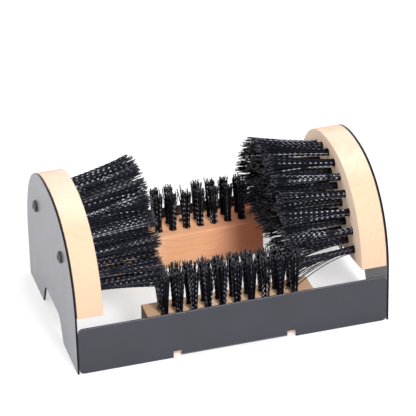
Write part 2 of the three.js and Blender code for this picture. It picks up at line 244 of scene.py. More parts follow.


# %% [markdown]
# The steel is powder coated: a satin, dark slate grey with a faint orange peel, where the powder
# flowed out before it set. It is a skin of plastic, so it isn't metallic. It looks pale where it
# is seen at a flat angle, because it then mirrors the white room. That comes from the shader by
# itself and needs no paler colour. Fine specks and slow clouds vary colour and gloss a little.
# The sheet's cut edges look nearly black. A thin light line is painted along the front wall's
# upper arris as a painted highlight, where its rounded strips face the front and the sky. A value
# on the faces, called edge, tells the finish where these are.

# %% Powder coat
FLAT_MARK, CUT_MARK, ARRIS_HIGHLIGHT_MARK = 0.0, 1.0, 2.0
COAT_DARK = (0.012, 0.013, 0.023)
COAT_LIGHT = (0.021, 0.022, 0.036)
COAT_SKIN = {"IOR": 1.4, "Coat_Roughness": 0.22, "Coat_IOR": 1.6}
COAT_SHEEN = {"Sheen_Weight": 0.5, "Sheen_Roughness": 0.4, "Sheen_Tint": (0.88, 0.88, 1.0, 1.0)}
COAT_WEIGHT = 0.5
COAT_ROUGH, COAT_UNEVEN, CUT_ROUGH = 0.26, 0.16, 0.6
# A painted highlight: the light line along the front wall's upper arris
ARRIS_HIGHLIGHT = (0.42, 0.42, 0.46)
CUT = (0.002, 0.002, 0.003)
PEEL = 1.1 * MM
SPECK = 0.25 * MM
CLOUD = 30 * MM
CLOUD_SHARE = 0.7
CLOUDED = (0.3, 0.7)
PEEL_SHARE = 0.8
PEEL_BUMP = {"strength": 0.25, "depth": 0.05 * MM}


def powder_coat():
    finish, tree, shader, place = new_finish("coated_steel", **COAT_SKIN, **COAT_SHEEN)
    peel = noise(tree, place, PEEL, SMOOTH)
    speck = noise(tree, place, SPECK, SMOOTH)
    cloud = noise(tree, place, CLOUD, FINE)
    tint = from_to(tree, cloud * CLOUD_SHARE + speck * (1 - CLOUD_SHARE), *CLOUDED)
    flat_face = mixed(tree, tint, COAT_DARK, COAT_LIGHT)
    edge = attribute(tree, "edge")
    # The painted highlight on the front wall's upper arris
    arris_highlight = from_to(tree, edge, CUT_MARK, ARRIS_HIGHLIGHT_MARK)
    cut = from_to(tree, edge, FLAT_MARK, CUT_MARK) - arris_highlight
    highlighted = mixed(tree, arris_highlight, flat_face, ARRIS_HIGHLIGHT)
    feed(tree, shader.inputs["Coat Weight"], cut * -COAT_WEIGHT + COAT_WEIGHT)
    rough = cloud * COAT_UNEVEN + speck * COAT_UNEVEN + cut * CUT_ROUGH + COAT_ROUGH
    paint(tree, shader, mixed(tree, cut, highlighted, CUT), rough)
    bump(tree, shader, peel * PEEL_SHARE + speck * (1 - PEEL_SHARE), **PEEL_BUMP)
    return finish


coated_steel = powder_coat()
print("the powder coat takes", len(coated_steel.node_tree.nodes), "nodes")

# %% [markdown]
# The boards are plain wood, sanded and left bare. Wood is a stack of cones round the tree's
# heart, so its rings are a distance from a line, the heart, that runs along the grain. Each ring
# is pale and ends in a thin darker line. The same rings then show as arcs on a board's end and
# as long streaks on its face, with no picture needed. Fibres and pores are noise that is drawn
# out along the grain. Where a face cuts across the grain, it is painted warmer and darker: partly
# the open ends of the fibres, and partly painted shade, as these faces get less light than the
# tops. The two side boards are mirrored, so that both lie on the same side of their tree's heart.

# %% Follow the grain
GRAIN_STRETCH = 0.05
END_GRAIN_AND_SHADE = (0.3, 0.55)


def along_the_grain(tree, place, grain, heart):
    """The place along the grain, the distance from the heart, and a place drawn out for fibres."""
    parts = add_node(tree, "ShaderNodeSeparateXYZ", {"Vector": place})
    axes = {axis: Field(tree, parts.outputs[axis]) for axis in "XYZ"}
    if grain == "Y":
        axes["X"] = axes["X"].work("ABSOLUTE")
    length = axes.pop(grain)
    first, second = [field - where for field, where in zip(axes.values(), heart)]
    drawn_out = {"X": first, "Y": second, "Z": length * GRAIN_STRETCH}
    fibre_place = output_of(tree, "ShaderNodeCombineXYZ", "Vector", drawn_out)
    radius = (first * first + second * second) ** 0.5
    return length, radius, fibre_place


def end_grain_and_shade_share(tree, grain):
    facing = output_of(tree, "ShaderNodeTexCoord", "Normal")
    ways = add_node(tree, "ShaderNodeSeparateXYZ", {"Vector": facing})
    return from_to(tree, Field(tree, ways.outputs[grain]).work("ABSOLUTE"), *END_GRAIN_AND_SHADE)


# %% [markdown]
# One function makes every wood, so the three differ only in their colours, their rings and where
# their tree's heart lies. The side boards' grain runs from front to rear, and the floor boards'
# runs along their length. The rear board is of a redder wood, painted darker towards its right
# end: partly its own darker wood and partly a painted shadow of the right brush. Slow noise bends
# the rings, as a tree's growth does. Beside the size of each noise below stands what it does: how
# many rings it shifts, or the range that shows and its share.

# %% Wood with growth rings
BARE_WOOD = {"IOR": 1.45, "Specular_IOR_Level": 0.25}
WOOD_ROUGH, WOOD_UNEVEN = 0.52, 0.2
BEND, BEND_RINGS = 14 * MM, 1.6
SWAY, SWAY_RINGS = 45 * MM, 3.0
LINE_POWER = 5.0
RING_PATCH, RINGS_SHOWN = 26 * MM, (0.30, 0.55)
WARM_PATCHES, WARM_SHARE = (0.35, 0.65), 0.75
FIBRE, FIBRES_SHOWN, FIBRE_SHARE = 0.55 * MM, (0.45, 0.85), 0.4
PORE, PORES_SHOWN, PORE_SHARE = 0.3 * MM, (0.66, 0.78), 0.25
FIBRE_RELIEF = 0.7
WOOD_BUMP = {"strength": 0.12, "depth": 0.1 * MM}
DARK_END_SWAY = 16 * MM
DARK_END_FADE = 44 * MM


def wood(name, pale, late, warm, end, grain, heart, ring, strength, dark_wood_and_shadow=None, dark_end_start=0):
    finish, tree, shader, place = new_finish(name, **BARE_WOOD)
    length, radius, fibre_place = along_the_grain(tree, place, grain, heart)
    bend = noise(tree, fibre_place, BEND)
    sway = noise(tree, place, SWAY, SMOOTH)
    rings = radius / ring + bend * BEND_RINGS + sway * SWAY_RINGS
    line = rings.work("FRACT") ** LINE_POWER
    shown = from_to(tree, noise(tree, place, RING_PATCH, SMOOTH), *RINGS_SHOWN)
    fibre = noise(tree, fibre_place, FIBRE, FINE, roughness=0.6)
    pore = from_to(tree, noise(tree, fibre_place, PORE, SMOOTH), *PORES_SHOWN)
    face = mixed(tree, from_to(tree, sway, *WARM_PATCHES) * WARM_SHARE, pale, warm)
    # Faces across the grain turn to the end colour: end grain and painted shade
    grain_and_shaded_ends = mixed(tree, end_grain_and_shade_share(tree, grain), face, end)
    ringed = mixed(tree, line * shown * strength, grain_and_shaded_ends, late)
    streaked = mixed(tree, from_to(tree, fibre, *FIBRES_SHOWN) * FIBRE_SHARE, ringed, late)
    colour = mixed(tree, pore * PORE_SHARE, streaked, late)
    # Darker wood and a painted shadow of the right brush towards the right end
    if dark_wood_and_shadow:
        edge = from_to(tree, length + sway * DARK_END_SWAY, dark_end_start, dark_end_start + DARK_END_FADE)
        colour = mixed(tree, edge, colour, dark_wood_and_shadow)
    paint(tree, shader, colour, fibre * WOOD_UNEVEN + WOOD_ROUGH)
    bump(tree, shader, fibre * FIBRE_RELIEF + line * (1 - FIBRE_RELIEF), **WOOD_BUMP)
    return finish


side_wood = wood(
    "side_board_wood",
    pale=(0.93, 0.745, 0.60),
    late=(0.70, 0.40, 0.22),
    warm=(0.89, 0.65, 0.48),
    # End grain, with painted shade on faces that get less light than the top
    end=(0.84, 0.57, 0.40),
    grain="Y",
    heart=(158 * MM, 62 * MM),
    ring=6 * MM,
    strength=0.26,
)
front_wood = wood(
    "front_board_wood",
    pale=(0.95, 0.66, 0.44),
    late=(0.55, 0.27, 0.13),
    warm=(0.88, 0.54, 0.33),
    # End grain, darkened further by painted shade on the board's shaded end
    end=(0.34, 0.19, 0.12),
    grain="X",
    heart=(-60 * MM, -30 * MM),
    ring=5 * MM,
    strength=0.35,
)
rear_wood = wood(
    "rear_board_wood",
    pale=(0.98, 0.61, 0.38),
    late=(0.62, 0.22, 0.10),
    warm=(0.97, 0.475, 0.25),
    end=(0.45, 0.15, 0.08),
    grain="X",
    heart=(95 * MM, -42 * MM),
    ring=6 * MM,
    strength=0.3,
    # Darker wood and painted shadow at the right end
    dark_wood_and_shadow=(0.85, 0.30, 0.17),
    dark_end_start=24 * MM,
)
print("woods:", [finish.name for finish in (side_wood, front_wood, rear_wood)])

# %% [markdown]
# The filaments are black nylon. Their crimps catch the light as rows of small bright dots, far
# too small to model, so the finish paints them as painted highlights. The tufts' tree leaves four
# values on the filaments for it: tone, which differs from filament to filament, wave, the number
# of waves up to a point, along, how far along its filament the point is, and shine, how
# strong its tuft's painted highlights are. Only filaments of a high tone get the painted dots, and
# a few get a painted highlight all along. The painted dots fade in patches and where the ends
# spread, and the cut tips are a little paler.

# %% Nylon
NYLON_DARK = (0.0025, 0.0026, 0.0055)
NYLON_LIGHT = (0.007, 0.0075, 0.014)
# The colour of the painted highlight dots
NYLON_PAINTED_HIGHLIGHT = (0.72, 0.72, 0.80)
NYLON_CUT = (0.22, 0.22, 0.25)
NYLON_SKIN = {"IOR": 1.53, "Specular_IOR_Level": 0.2, "Specular_Tint": (0.82, 0.83, 1.0, 1.0)}
NYLON_ROUGH, NYLON_UNEVEN = 0.34, 0.10
DUST, TONE_SHARE = 3 * MM, 0.6
CREST_HIGHLIGHT = (0.80, 0.92)
DOTTED_TONES = (0.55, 0.85)
STREAK_TONES, STREAK_SHARE = (0.92, 0.96), 0.25
LIT_PATCH, LIT_PATCHES = 14 * MM, (0.32, 0.55)
SPREAD_ENDS = (0.97, 0.72)
TIP_POWER, TIP_SHARE = 60.0, 0.6


def nylon():
    finish, tree, shader, place = new_finish("bristle_nylon", **NYLON_SKIN)
    tone = attribute(tree, "tone")
    along = attribute(tree, "along")
    dust = noise(tree, place, DUST)
    shade = mixed(tree, tone * TONE_SHARE + dust * (1 - TONE_SHARE), NYLON_DARK, NYLON_LIGHT)
    # Painted highlight dots at the crests of the crimp
    flat = (attribute(tree, "wave") * math.pi).work("SINE").work("ABSOLUTE")
    # A painted highlight all along a few filaments
    painted_streak = from_to(tree, tone, *STREAK_TONES) * STREAK_SHARE
    painted_dot = from_to(tree, flat, *CREST_HIGHLIGHT).work("MAXIMUM", painted_streak)
    bright = from_to(tree, tone, *DOTTED_TONES) * attribute(tree, "shine")
    patchy = from_to(tree, noise(tree, place, LIT_PATCH, SMOOTH), *LIT_PATCHES)
    painted_dots = painted_dot * bright * patchy * from_to(tree, along, *SPREAD_ENDS)
    with_painted_dots = mixed(tree, painted_dots, shade, NYLON_PAINTED_HIGHLIGHT)
    colour = mixed(tree, along ** TIP_POWER * TIP_SHARE, with_painted_dots, NYLON_CUT)
    paint(tree, shader, colour, tone * NYLON_UNEVEN + NYLON_ROUGH)
    return finish


bristle_nylon = nylon()
print("the nylon takes", len(bristle_nylon.node_tree.nodes), "nodes")

# %% [markdown]
# The screws are blackened steel. The black is a thin crust of oxide and oil, so it is dull, a
# little gritty, and a little lighter where it is rubbed.

# %% Black oxide
OXIDE_DARK = (0.010, 0.010, 0.011)
OXIDE_LIGHT = (0.022, 0.021, 0.021)
OXIDE_ROUGH, OXIDE_UNEVEN = 0.30, 0.15
GRIT = 0.35 * MM
RUB = 2.5 * MM
GRIT_BUMP = {"strength": 0.2, "depth": 0.05 * MM}


def black_oxide():
    finish, tree, shader, place = new_finish("black_screw", IOR=1.6)
    grit = noise(tree, place, GRIT, FINE)
    rub = noise(tree, place, RUB)
    colour = mixed(tree, rub, OXIDE_DARK, OXIDE_LIGHT)
    paint(tree, shader, colour, grit * OXIDE_UNEVEN + OXIDE_ROUGH)
    bump(tree, shader, grit, **GRIT_BUMP)
    return finish


black_screw = black_oxide()
print("the black oxide takes", len(black_screw.node_tree.nodes), "nodes")

# %% [markdown]
# Sheet metal has no sharp corner once it is deburred and coated. The folded walls and the plates
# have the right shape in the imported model, so each is copied, its triangles are merged into the
# flat faces that they belong to, and a Bevel modifier rounds the edges by a fraction of the
# sheet. Weighted normals keep the flat faces flat to the eye.

# %% Helpers for sheet and wood
BEVEL_FROM = math.radians(30)
KEEP_FLAT = "WEIGHTED_NORMAL", {"keep_sharp": True, "weight": 100}
MERGE = 0.002 * MM
FLAT = math.radians(0.2)


def with_modifiers(name, mesh, steps):
    holder = into_scene(name, mesh)
    for kind, settings in steps:
        modifier = holder.modifiers.new(kind, kind)
        for setting, value in settings.items():
            setattr(modifier, setting, value)
    return baked(name, holder)


def bevelled(width, segments):
    return "BEVEL", {
        "width": width,
        "segments": segments,
        "limit_method": "ANGLE",
        "angle_limit": BEVEL_FROM,
        "miter_outer": "MITER_ARC",
    }


def merged_copy(node):
    shape = bmesh.new()
    shape.from_mesh(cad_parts[node].data)
    bmesh.ops.remove_doubles(shape, verts=shape.verts, dist=MERGE)
    bmesh.ops.dissolve_limit(shape, angle_limit=FLAT, verts=shape.verts, edges=shape.edges)
    for face in shape.faces:
        face.smooth = True
    return mesh_from(node + "_merged", shape)


# %% [markdown]
# The finish has to know the cut edges from the flat sheet, and a face's width tells: its area,
# divided by half the way round it. The rounded strips along the edges are the thinnest, a cut
# edge is nearly as wide as the sheet is thick, and a flat face is far wider. On the front wall,
# the strips that face both the front and the sky get a painted highlight along its upper arris.

# %% Round the edges of the steel
SHEET_EDGE = 0.3 * MM
ARRIS_WIDTH = 0.28 * MM
CUT_WIDTH = 1.3 * MM
SQUARE_ON = 0.1
STEEL_PIECES = {
    "front_wall": "base_pan",
    "rear_wall": "rear_pan",
    "left_plate": "left_side_plate",
    "right_plate": "right_side_plate",
}


def mark_edges(mesh, across, highlit):
    """Mark each face as flat sheet, as a cut edge, or as the front wall's painted arris highlight.
    """
    marks = []
    for face in mesh.polygons:
        corners = [mesh.vertices[k].co for k in face.vertices]
        around = sum((a - b).length for a, b in zip(corners, corners[1:] + corners[:1]))
        width = 2 * face.area / around
        facing_out = face.normal.y < -SQUARE_ON and face.normal.z > SQUARE_ON
        # On the front wall, thin strips facing the front and the sky get the painted highlight
        if width < ARRIS_WIDTH:
            marks.append(ARRIS_HIGHLIGHT_MARK if highlit and facing_out else CUT_MARK)
        elif width < CUT_WIDTH and abs(face.normal[across]) < SQUARE_ON:
            marks.append(CUT_MARK)
        else:
            marks.append(FLAT_MARK)
    layer = mesh.attributes.new("edge", "FLOAT", "FACE")
    layer.data.foreach_set("value", marks)
    cut, arris_highlight = marks.count(CUT_MARK), marks.count(ARRIS_HIGHLIGHT_MARK)
    print(f"{mesh.name} has {cut} cut faces and {arris_highlight} arris faces")


for piece_name, node_name in STEEL_PIECES.items():
    steps = [bevelled(SHEET_EDGE, segments=2), KEEP_FLAT]
    steel = with_modifiers(piece_name, merged_copy(node_name), steps)
    across = 1 if piece_name.endswith("wall") else 0
    mark_edges(steel, across, highlit=piece_name == "front_wall")
    add_piece(piece_name, steel, coated_steel, [node_name])

# %% [markdown]
# A weld bead inside each corner holds the walls to the plates. A hand-laid bead is a row of
# small overlapping pools, so its face is rippled and a little round. It is a quarter round, swept
# up the corner, whose radius swells and shrinks once for each pool.

# %% Lay the weld beads
POOL = 2.4 * MM
BEAD_STEPS = 60
BEAD_SIDES = 6
BEAD_LEAST_SHARE = 0.86
BEAD_SWELL_SHARE = 0.12
BEAD_SHARP = math.radians(60)
WELD_NODES = [f"{side}_{end}_weld" for side in SIDES for end in ENDS]


def bead_section(height, low, high, way_x, way_y):
    corner = Vector((high.x if way_x > 0 else low.x, high.y if way_y > 0 else low.y, height))
    ripple = abs(math.sin(math.pi * (height - low.z) / POOL))
    radius = (high.x - low.x) * (BEAD_LEAST_SHARE + BEAD_SWELL_SHARE * ripple)
    ring = [corner]
    for step in range(BEAD_SIDES + 1):
        turn = math.pi / 2 * step / BEAD_SIDES
        away = Vector((-way_x * math.cos(turn), -way_y * math.sin(turn), 0))
        ring.append(corner + radius * away)
    return ring


def loft(shape, rings):
    rows = [[shape.verts.new(point) for point in ring] for ring in rings]
    for lower, upper in zip(rows, rows[1:]):
        for k in range(len(lower)):
            following = (k + 1) % len(lower)
            shape.faces.new((lower[k], lower[following], upper[following], upper[k]))
    shape.faces.new(rows[0][::-1])
    shape.faces.new(rows[-1])


beads = bmesh.new()
for side, way_x in SIDES.items():
    for end, way_y in ENDS.items():
        low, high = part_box(f"{side}_{end}_weld")
        heights = [low.z + (high.z - low.z) * k / BEAD_STEPS for k in range(BEAD_STEPS + 1)]
        loft(beads, [bead_section(height, low, high, way_x, way_y) for height in heights])
bmesh.ops.recalc_face_normals(beads, faces=beads.faces)
for face in beads.faces:
    face.smooth = len(face.verts) == 4
bead_mesh = mesh_from("corner_welds", beads)
bead_mesh.set_sharp_from_angle(angle=BEAD_SHARP)
add_piece("corner_welds", bead_mesh, coated_steel, WELD_NODES)

# %% [markdown]
# The tufts come before the boards, because each tuft needs its hole. The side tufts stand in
# five arches, one inside the other, staggered from arch to arch. Each arch is walked in short
# steps from its top, and a tuft is set on both sides of the board at every full pitch. The rule
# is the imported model's own, so the filaments stand where its strands do.

# %% Lay out the side tufts
PLATE_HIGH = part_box("left_side_plate")[1]
HALF_DEPTH = PLATE_HIGH.y
PLATE_TOP = PLATE_HIGH.z
ARCH_SPRING = 45.4 * MM
SIDE_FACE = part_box("right_side_board")[0].x

ARCHES = 5
ARCH_EDGE = 15.5 * MM
ARCH_TOP = 12.7 * MM
ARCH_STEP_IN = 17.5 * MM
ARCH_STEP_DOWN = 15 * MM
ARCH_SHIFT = 4.7 * MM
TUFT_PITCH = 17.1 * MM
LOWEST_TUFT = 64.5 * MM
WALK_STEPS = 400
STAGGER = 0.5


def arch_places(half, rise, first_step):
    travelled = -first_step * TUFT_PITCH
    last = Vector((0, rise))
    places = []
    for step in range(WALK_STEPS + 1):
        turn = math.pi / 2 * step / WALK_STEPS
        here = Vector((half * math.sin(turn), rise * math.cos(turn)))
        travelled += (here - last).length
        last = here
        if travelled < 0:
            continue
        travelled -= TUFT_PITCH
        height = ARCH_SPRING + here.y
        if height < LOWEST_TUFT:
            break
        places.append((here.x, height))
        if here.x > 0:
            places.append((-here.x, height))
    return places


def side_layout():
    places = []
    for arch in range(ARCHES):
        half = HALF_DEPTH - ARCH_EDGE - arch * ARCH_STEP_IN
        rise = PLATE_TOP - ARCH_SPRING - ARCH_TOP - arch * ARCH_STEP_DOWN
        for across, height in arch_places(half, rise, STAGGER if arch % 2 else 0):
            places.append((arch, across + ARCH_SHIFT, height))
    return places


SIDE_PLACES = side_layout()
print(len(SIDE_PLACES), "tufts in each side board, by arch:",
      [sum(place[0] == arch for place in SIDE_PLACES) for arch in range(ARCHES)])

# %% [markdown]
# The upper side tufts lean up and the lower ones lean down a little, like the sticks of a fan.
# The photograph shows that tufts aren't all alike. On the left board the outer arch ends a few
# millimetres higher than in the imported model, and the upper tufts lean up less. The lowest tuft
# at the front of the right board has come loose: its long filaments part and curve down. The
# layout's first tuft is the topmost, and has a spread and a rise of its own. So each tuft carries
# its values for how wide it opens, which way it sags, how full it is and how strong its painted
# highlights are. The outer arch gets the strongest painted highlights at its top, where more light
# falls, and less and less down both sides.

# %% Describe the side tufts
STRAIGHT = Vector((0, 0, 0))
FULL = 1.0
FAN_CENTRE = 72 * MM
FAN_UP = {"left": 265 * MM, "right": 324 * MM}
FAN_DOWN = {"left": 224 * MM, "right": 324 * MM}
FAN_SIDEWAYS = 1250 * MM
SIDE_REACH = {"left": 62.8 * MM, "right": 67 * MM}
SIDE_OPEN = 7.5 * MM
TOP_OPEN = {"left": 5.0 * MM, "right": 7.5 * MM}
TOP_RISE = {"left": STRAIGHT, "right": Vector((0, 0, 4)) * MM}
LOWEST_ROW = LOWEST_TUFT + TUFT_PITCH / 2
LOWEST_LIFT = {"left": 6 * MM, "right": 0}
LOWEST_OPEN = 9 * MM
LOWEST_BEND = {"left": STRAIGHT, "right": Vector((0, 0, -13)) * MM}
LOOSE_OPEN = 8 * MM
LOOSE_BEND = Vector((0, -3, -26)) * MM
# How strong the painted highlights on a tuft's filaments are
LOW_PAINTED_SHINE = {"left": 0.3, "right": 0.9}
TOP_PAINTED_SHINE = {"left": 1.3, "right": 1.8}
INNER_PAINTED_SHINE = 0.45
LOOSE_PAINTED_SHINE = 0.25


def side_shine(side, arch, height):
    if arch:
        return INNER_PAINTED_SHINE
    up = (height - LOWEST_TUFT) / (PLATE_TOP - LOWEST_TUFT)
    return LOW_PAINTED_SHINE[side] + (TOP_PAINTED_SHINE[side] - LOW_PAINTED_SHINE[side]) * up


def side_tufts(side, way):
    tufts = []
    for number, (arch, across, height) in enumerate(SIDE_PLACES):
        lowest = height < LOWEST_ROW
        if lowest and arch == 0:
            height += LOWEST_LIFT[side]
        fan = FAN_UP[side] if height > FAN_CENTRE else FAN_DOWN[side]
        lean = Vector((-way, across / FAN_SIDEWAYS, (height - FAN_CENTRE) / fan))
        tuft = {
            "arch": arch,
            "root": Vector((way * SIDE_FACE, across, height)),
            "aim": lean.normalized(),
            "reach": SIDE_REACH[side] * lean.length,
            "open": SIDE_OPEN if number else TOP_OPEN[side],
            "sag": STRAIGHT if number else TOP_RISE[side],
            "fill": FULL,
            "shine": side_shine(side, arch, height),
            "tuft": number,
        }
        if way > 0 and across < 0 and arch == 0 and lowest:
            tuft.update(open=LOOSE_OPEN, sag=LOOSE_BEND, shine=LOOSE_PAINTED_SHINE)
        elif lowest:
            tuft.update(open=LOWEST_OPEN, sag=LOWEST_BEND[side])
        tufts.append(tuft)
    return tufts


ALL_TUFTS = {side + "_side": side_tufts(side, way) for side, way in SIDES.items()}
print("the side tufts reach", in_mm(SIDE_REACH.values()), "mm")

# %% [markdown]
# The floor tufts stand upright in two straight rows of ten. One tuft in the back row of the rear
# brush has lost most of its filaments and leans over.

# %% Describe the floor tufts
FLOOR_TUFTS = 10
FLOOR_TUFT_END = 17.2 * MM
FLOOR_ROW_PITCH = 13 * MM
FLOOR_ROW_SHIFT = 1.5 * MM
FLOOR_ROW_ASIDE = {"front": -1.2 * MM, "rear": 0}
FLOOR_REACH = {"front": 43.5 * MM, "rear": 39 * MM}
FLOOR_OPEN = {"front": 6.4 * MM, "rear": 5.0 * MM}
FLOOR_PAINTED_SHINE = 0.9
WORN_TUFT = ("rear", 1, 5)
WORN_FILL = 0.12
WORN_BEND = Vector((-9, 4, -12)) * MM


def floor_tufts(end):
    low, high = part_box(end + "_floor_board")
    middle = (low + high) / 2
    pitch = (high.x - low.x - 2 * FLOOR_TUFT_END) / (FLOOR_TUFTS - 1)
    tufts = []
    for row in (0, 1):
        for k in range(FLOOR_TUFTS):
            across = middle.x + FLOOR_ROW_ASIDE[end] + (k - (FLOOR_TUFTS - 1) / 2) * pitch
            back = middle.y + FLOOR_ROW_SHIFT + (row - 0.5) * FLOOR_ROW_PITCH
            worn = (end, row, k) == WORN_TUFT
            tuft = {
                "root": Vector((across, back, high.z)),
                "aim": UP,
                "reach": FLOOR_REACH[end],
                "open": FLOOR_OPEN[end],
                "sag": WORN_BEND if worn else STRAIGHT,
                "fill": WORN_FILL if worn else FULL,
                "shine": FLOOR_PAINTED_SHINE,
                "tuft": row * FLOOR_TUFTS + k,
            }
            tufts.append(tuft)
    return tufts


ALL_TUFTS.update({end + "_floor": floor_tufts(end) for end in ENDS})
print({name: len(tufts) for name, tufts in ALL_TUFTS.items()})

# %% [markdown]
# Each board is a sawn blank, rounded over along its edges and drilled. The side boards follow
# the plates' arch and hang a little lower in the middle. The floor boards lose one arris, where
# they clear the fold of the wall.

# %% Saw the blanks
ARCH_POWER = 2.255
ARCH_STEPS = 120
BELLY = 7 * MM
BELLY_STEPS = 24
FOLD_RADIUS = 2 * MM


def extruded(name, outline, offset):
    """A closed solid between an outline and the same outline moved by the offset."""
    shape = bmesh.new()
    loft(shape, [outline, [point + offset for point in outline]])
    return closed_mesh(name, shape)


def side_outline(low):
    bottom = low.z + BELLY
    arch_rise = PLATE_TOP - ARCH_SPRING
    start = math.asin(((bottom - ARCH_SPRING) / arch_rise) ** (ARCH_POWER / 2))
    points = []
    for step in range(ARCH_STEPS + 1):
        turn = start + (math.pi - 2 * start) * step / ARCH_STEPS
        bow = abs(math.cos(turn)) ** (2 / ARCH_POWER)
        across = HALF_DEPTH * math.copysign(bow, math.cos(turn))
        up = arch_rise * math.sin(turn) ** (2 / ARCH_POWER)
        points.append(Vector((low.x, across, ARCH_SPRING + up)))
    edge = points[-1].y
    for step in range(1, BELLY_STEPS):
        share = 2 * step / BELLY_STEPS - 1
        points.append(Vector((low.x, -edge * share, bottom - BELLY * (1 - share * share))))
    return points


def floor_outline(low, high, way):
    wall, inner = (high.y, low.y) if way > 0 else (low.y, high.y)
    corners = [
        (inner, low.z),
        (inner, high.z),
        (wall, high.z),
        (wall, low.z + FOLD_RADIUS),
        (wall - way * FOLD_RADIUS, low.z),
    ]
    return [Vector((low.x, across, height)) for across, height in corners]


# %% [markdown]
# Drilling is a Boolean modifier, with one cutter that holds all of a board's drills. It comes
# after the Bevel, so the holes keep the crisp edge that a drill leaves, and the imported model's
# hidden pocket isn't repeated. Each hole follows its own tuft's lean.

# %% Drill the boards
HOLE = 7.6 * MM
HOLE_SIDES = 24
SIDE_DEPTH = 9.5 * MM
FLOOR_DEPTH = 12 * MM
OVERRUN = 1 * MM
BOARD_EDGE = 0.9 * MM
HOLE_SHARP = math.radians(40)


def drills(tufts, depth):
    shape = bmesh.new()
    for tuft in tufts:
        aim = tuft["aim"]
        middle = tuft["root"] + aim * (OVERRUN - depth) / 2
        turn = UP.rotation_difference(aim).to_matrix().to_4x4()
        bmesh.ops.create_cone(
            shape,
            cap_ends=True,
            segments=HOLE_SIDES,
            radius1=HOLE / 2,
            radius2=HOLE / 2,
            depth=depth + OVERRUN,
            matrix=Matrix.Translation(middle) @ turn,
        )
    return into_scene("drills", mesh_from("drills", shape))


def drilled_board(board_name, outline, depth, finish):
    low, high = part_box(board_name)
    blank = extruded("blank", outline, Vector((high.x - low.x, 0, 0)))
    cutter = drills(ALL_TUFTS[board_name.replace("_board", "")], depth)
    cut = "BOOLEAN", {"object": cutter, "operation": "DIFFERENCE", "solver": "EXACT"}
    name = board_name.replace("_board", "_wood")
    board = with_modifiers(name, blank, [bevelled(BOARD_EDGE, segments=3), cut])
    bpy.data.objects.remove(cutter)
    board.set_sharp_from_angle(angle=HOLE_SHARP)
    board = with_modifiers(name, board, [KEEP_FLAT])
    add_piece(name, board, finish, [board_name])


for side in SIDES:
    board_name = side + "_side_board"
    outline = side_outline(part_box(board_name)[0])
    drilled_board(board_name, outline, SIDE_DEPTH, side_wood)

FLOOR_FINISH = {"front": front_wood, "rear": rear_wood}
for end, way in ENDS.items():
    board_name = end + "_floor_board"
    outline = floor_outline(*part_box(board_name), way)
    drilled_board(board_name, outline, FLOOR_DEPTH, FLOOR_FINISH[end])

# %% [markdown]
# A geometry tree takes a geometry and named inputs, and gives a geometry back. Values that differ
# from point to point come in as attributes. Both trees here end alike: instances are made real,
# so that the export keeps them, and get their finish.

# %% Helpers for geometry trees
def new_tree(name, inputs):
    tree = bpy.data.node_groups.new(name, "GeometryNodeTree")
    face = tree.interface
    face.new_socket(name="Geometry", in_out="INPUT", socket_type="NodeSocketGeometry")
    face.new_socket(name="Geometry", in_out="OUTPUT", socket_type="NodeSocketGeometry")
    keys = {}
    for label, kind in inputs.items():
        socket = face.new_socket(name=label, in_out="INPUT", socket_type="NodeSocket" + kind)
        keys[label] = socket.identifier
    given = add_node(tree, "NodeGroupInput")
    values = {label: Field(tree, given.outputs[label]) for label in ["Geometry", *inputs]}
    return tree, keys, values


def finish_tree(tree, geometry, finish):
    real = output_of(tree, "GeometryNodeRealizeInstances", "Geometry", {"Geometry": geometry})
    inputs = {"Geometry": real, "Material": finish}
    painted = output_of(tree, "GeometryNodeSetMaterial", "Geometry", inputs)
    end = add_node(tree, "NodeGroupOutput")
    feed(tree, end.inputs["Geometry"], painted)


def point_value(tree, name, kind="FLOAT"):
    inputs = {"Name": name}
    return output_of(tree, "GeometryNodeInputNamedAttribute", "Attribute", inputs, data_type=kind)


def store_values(tree, geometry, values):
    for name, value in values.items():
        inputs = {"Geometry": geometry, "Name": name, "Value": value}
        kind = "GeometryNodeStoreNamedAttribute"
        settings = {"data_type": "FLOAT", "domain": "POINT"}
        geometry = output_of(tree, kind, "Geometry", inputs, **settings)
    return geometry


# %% [markdown]
# A tuft is a bundle of nylon filaments, folded in half and stapled at the bottom of its hole, so
# that thirty to forty ends stand up. They leave the hole tightly bundled and open towards their
# cut tips. Each filament is crimped into a small flat wave, which stops it from packing down,
# and no two are quite as long or as straight as each other. Making them by hand is out of the
# question, and so is an instance of one straight hair, because every one bends its own way. So
# a Geometry Nodes tree copies each tuft's point once for every step of every filament, works out
# where that step lies, and joins the steps into curves. Everything random in it comes from one
# seed, and each use has a draw of its own.

# %% The tufts' tree
TUFT_INPUTS = {
    "Filaments": "Int",
    "Steps": "Int",
    "Root Depth": "Float",
    "Bundle Radius": "Float",
    "Filament Radius": "Float",
    "Crimp Length": "Float",
    "Crimp Height": "Float",
    "Wander": "Float",
    "Ragged": "Float",
    "Flare": "Float",
    "Seed": "Int",
    "Finish": "Material",
}
DRAWS = ["press", "length", "spoke", "wildness", "stray", "sag", "wave", "crimp", "tone"]
GOLDEN_ANGLE = math.pi * (3 - math.sqrt(5))
TUFT_TURN = 2.1
SPOKE_SLIP = 0.25
WAVE_SLIP = 0.08
WILD_LEAST, WILD_GAIN, WILD_POWER = 0.3, 3.0, 16.0
STRAY_POWER = 1.7
SAG_POWER = 1.8
SECTION_SIDES = 3


def skinned(tree, points, strand, along, radius):
    inputs = {"Points": points, "Curve Group ID": strand, "Weight": along}
    curves = output_of(tree, "GeometryNodePointsToCurves", "Curves", inputs)
    inputs = {"Resolution": SECTION_SIDES, "Radius": radius}
    section = output_of(tree, "GeometryNodeCurvePrimitiveCircle", "Curve", inputs)
    inputs = {"Curve": curves, "Profile Curve": section, "Fill Caps": True}
    skins = output_of(tree, "GeometryNodeCurveToMesh", "Mesh", inputs)
    return output_of(tree, "GeometryNodeSetShadeSmooth", "Geometry", {"Geometry": skins})


